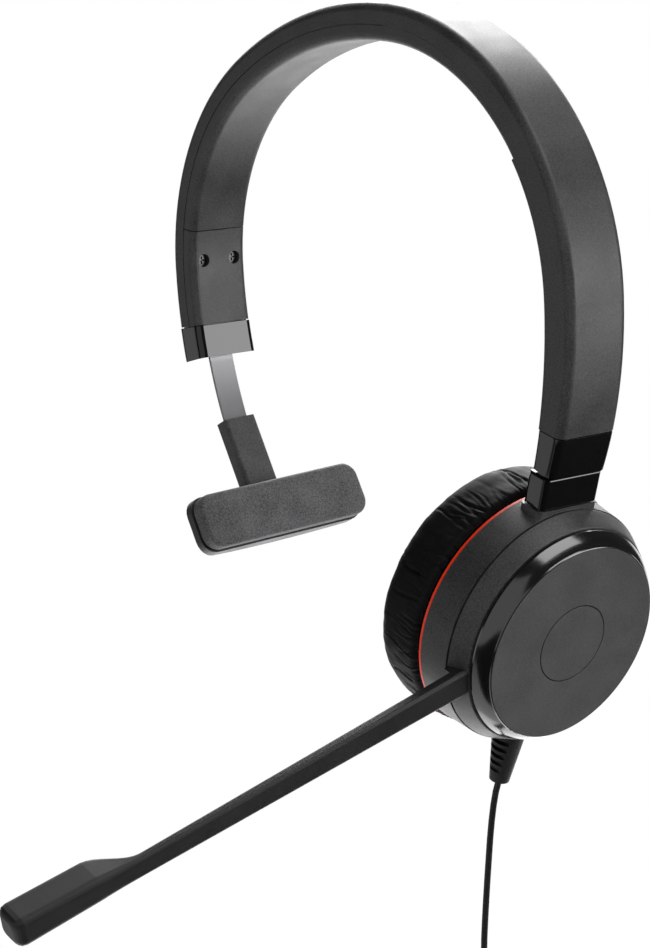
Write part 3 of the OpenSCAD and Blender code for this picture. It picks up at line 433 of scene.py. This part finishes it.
# ---- softened edges of the hard mouldings ----
edgeLook = {"width": 0.22, "segments": 2, "angle": 35}
softEdges = ["band_shell", "band_liner", "rest_cap", "cup_cap", "rest_stem",
             "rest_shell", "yoke_block", "cup_housing", "face_cap", "badge_disc", "boom_ring"]


def softenEdges(piece, look):
    weld = piece.modifiers.new("weld", "WELD")
    weld.merge_threshold = 0.004 * mm
    bevel = piece.modifiers.new("bevel", "BEVEL")
    bevel.width = look["width"] * mm
    bevel.segments = look["segments"]
    bevel.limit_method = "ANGLE"
    bevel.angle_limit = math.radians(look["angle"])
    bevel.use_clamp_overlap = True
    even = piece.modifiers.new("evenNormals", "WEIGHTED_NORMAL")
    even.weight = 100


for nodeName in softEdges:
    softenEdges(frame["nodes"][nodeName], edgeLook)
print("model dressed")

# ---- ear cushion ----
# A leatherette ring: gathered at its seam beside the trim, so creases run from there over the side
cushionLook = {"hole": 15.0, "outer": 32.7, "front": -19.7, "back": -36.1, "plate": 30.7, "seat": -21.1,
               "corners": (4.5, 2.0, 2.6, 6.0), "around": 760, "creases": 190, "depth": 0.6, "seed": 5}


def roundedLoop(x0, y0, x1, y1, radii, steps):  # a rounded box, anticlockwise, corners x0y0 x1y0 x1y1 x0y1
    corners = [(x0 + radii[0], y0 + radii[0], radii[0], 180), (x1 - radii[1], y0 + radii[1], radii[1], 270),
               (x1 - radii[2], y1 - radii[2], radii[2], 0), (x0 + radii[3], y1 - radii[3], radii[3], 90)]
    turns = [(corner, math.radians(corner[3] + 90 * i / steps))
             for corner in corners for i in range(steps + 1)]
    return [(x + r * math.cos(turn), y + r * math.sin(turn)) for (x, y, r, _), turn in turns]


def creaseField(look, angle, down, radius):  # outward move in millimetres at each point of the ring
    draw = random.Random(look["seed"])
    move = np.zeros_like(angle)
    for k in range(look["creases"]):
        at = 2 * math.pi * (k + draw.uniform(-0.8, 0.8)) / look["creases"]
        width = draw.uniform(0.16, 0.5)
        depth = draw.uniform(0.2, 1.0) ** 1.3
        start, reach = draw.uniform(-0.3, 0.25), draw.uniform(0.25, 0.95)
        slant, bend, phase = draw.uniform(-0.10, 0.10), draw.uniform(0.004, 0.018), draw.uniform(0, 6.3)
        centre = at + slant * down + bend * np.sin(down * draw.uniform(5, 14) + phase)
        x = ((angle - centre + math.pi) % (2 * math.pi) - math.pi) * radius / width
        fade = np.clip((down - start) / 0.12, 0, 1) * np.clip((start + reach - down) / (reach * 0.7), 0, 1)
        valley = -1.15 * np.exp(-np.abs(x) ** 1.4)
        ridges = 0.3 * np.exp(-(np.abs(x) - 1.9) ** 2 / 1.4)
        move += depth * fade * (valley + ridges)
    return move * look["depth"]


def makeCushion(look):
    bm = bmesh.new()
    loop = roundedLoop(look["back"], look["hole"], look["front"], look["outer"], look["corners"], 8)
    loop = [(min(a, look["seat"]) if r < look["plate"] else a, r) for a, r in loop]
    verts = [bm.verts.new(cupPoint(a * mm, 0, r * mm)) for a, r in loop]
    edges = [bm.edges.new((verts[i], verts[(i + 1) % len(verts)])) for i in range(len(verts))]
    bmesh.ops.subdivide_edges(bm, edges=[e for e in edges if e.calc_length() > 5 * mm], cuts=11)
    bmesh.ops.spin(bm, geom=bm.verts[:] + bm.edges[:], cent=cupCentre, axis=cupAxis, angle=2 * math.pi,
                   steps=look["around"], use_merge=True)
    bmesh.ops.remove_doubles(bm, verts=bm.verts, dist=0.01 * mm)
    bmesh.ops.recalc_face_normals(bm, faces=bm.faces)
    bm.normal_update()
    co = np.array([v.co[:] for v in bm.verts])
    away = np.array([v.normal[:] for v in bm.verts])
    p = co - np.array(cupCentre)
    along = p @ np.array(cupAxis)
    flat = p - np.outer(along, np.array(cupAxis))
    radius = np.linalg.norm(flat, axis=1) / mm
    angle = np.arctan2(flat @ np.array(cupFront), flat @ np.array(cupUp))
    down = (look["front"] - along / mm) / (look["front"] - look["back"])
    outside = np.clip((radius - 24) / 6, 0, 1)
    soft = np.array([noise.noise(v.co * 130) * 0.30 + noise.noise(v.co * 420) * 0.12 for v in bm.verts])
    pucker = creaseField(look, angle, down, radius) * outside + soft * np.clip(down * 4, 0.15, 1)
    gather = -0.55 * np.exp(-(down / 0.07) ** 2) * outside
    co += away * ((pucker + gather) * mm)[:, None]
    for v, place in zip(bm.verts, co):
        v.co = place
    mesh = bpy.data.meshes.new("earCushion")
    bm.to_mesh(mesh)
    bm.free()
    mesh.shade_smooth()
    cushion = bpy.data.objects.new("earCushion", mesh)
    scene.collection.objects.link(cushion)
    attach(cushion, "ear_cup")
    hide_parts("ear_cushion")
    dress(cushion, "leatherette")


makeCushion(cushionLook)
print("ear cushion made")

# ---- temple pad: a soft slab that bulges a little and has rounded edges ----
padLook = {"edge": 1.1, "edgeSteps": 5, "corner": 4.2, "cornerSteps": 8, "innerLoops": 8, "bulge": 0.35,
           "dimple": 0.10}


def padFrame():  # middle, length, width and thickness directions, and half sizes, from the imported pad
    node = frame["nodes"]["temple_pad"]
    co = np.array([(node.matrix_world @ v.co)[:] for v in node.data.vertices])
    middle = (co.max(0) + co.min(0)) / 2
    _, _, axes = np.linalg.svd(co - co.mean(0), full_matrices=False)
    spread = [(co - middle) @ axis for axis in axes]
    middle = middle + sum(axis * (s.max() + s.min()) / 2 for axis, s in zip(axes, spread))
    half = [(s.max() - s.min()) / 2 / mm for s in spread]
    axes = [Vector(axis) for axis in axes]
    if axes[2].x < 0:
        axes[2] = -axes[2]
    axes[1] = axes[2].cross(axes[0])
    return Vector(middle), axes, half


def makePad(look):
    middle, axes, half = padFrame()
    print("pad half sizes:", [round(h, 2) for h in half])
    bm = bmesh.new()
    rings = []
    steps = look["edgeSteps"]
    for side, order in ((-1, range(steps, -1, -1)), (1, range(steps + 1))):
        for i in order:
            turn = math.radians(90 * i / steps)
            inset = look["edge"] * (1 - math.cos(turn))
            height = side * (half[2] - look["edge"] * (1 - math.sin(turn)))
            corner = max(0.5, look["corner"] - inset)
            loop = roundedLoop(-half[0] + inset, -half[1] + inset, half[0] - inset, half[1] - inset,
                               (corner, corner, corner, corner), look["cornerSteps"])
            rings.append([bm.verts.new((x, y, height)) for x, y in loop])
    for low, high in zip(rings, rings[1:]):
        for i in range(len(low)):
            j = (i + 1) % len(low)
            bm.faces.new((low[i], low[j], high[j], high[i]))
    for ring in (rings[0], rings[-1]):
        flat = list(ring)
        for k in range(1, look["innerLoops"]):  # inner loops so that the face can bulge
            scale = 1 - k / look["innerLoops"]
            inner = [bm.verts.new((v.co.x * (1 - (1 - scale) * 0.97), v.co.y * scale, v.co.z)) for v in ring]
            for i in range(len(ring)):
                j = (i + 1) % len(ring)
                bm.faces.new((flat[i], flat[j], inner[j], inner[i]))
            flat = inner
        bm.faces.new(flat)
    bmesh.ops.recalc_face_normals(bm, faces=bm.faces)
    for v in bm.verts:
        across = max(abs(v.co.x) / half[0], abs(v.co.y) / half[1])
        v.co.z += math.copysign(look["bulge"] * (1 - across ** 3) - look["bulge"] * 0.6, v.co.z)
        v.co.z += noise.noise(Vector((v.co.x * 0.14, v.co.y * 0.2, v.co.z))) * look["dimple"]
    for v in bm.verts:
        v.co = middle + (axes[0] * v.co.x + axes[1] * v.co.y + axes[2] * v.co.z) * mm
    mesh = bpy.data.meshes.new("templePad")
    bm.to_mesh(mesh)
    bm.free()
    mesh.shade_smooth()
    pad = bpy.data.objects.new("templePad", mesh)
    scene.collection.objects.link(pad)
    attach(pad, "temple_rest")
    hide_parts("temple_pad")
    dress(pad, "padFoam")


makePad(padLook)
print("temple pad made")
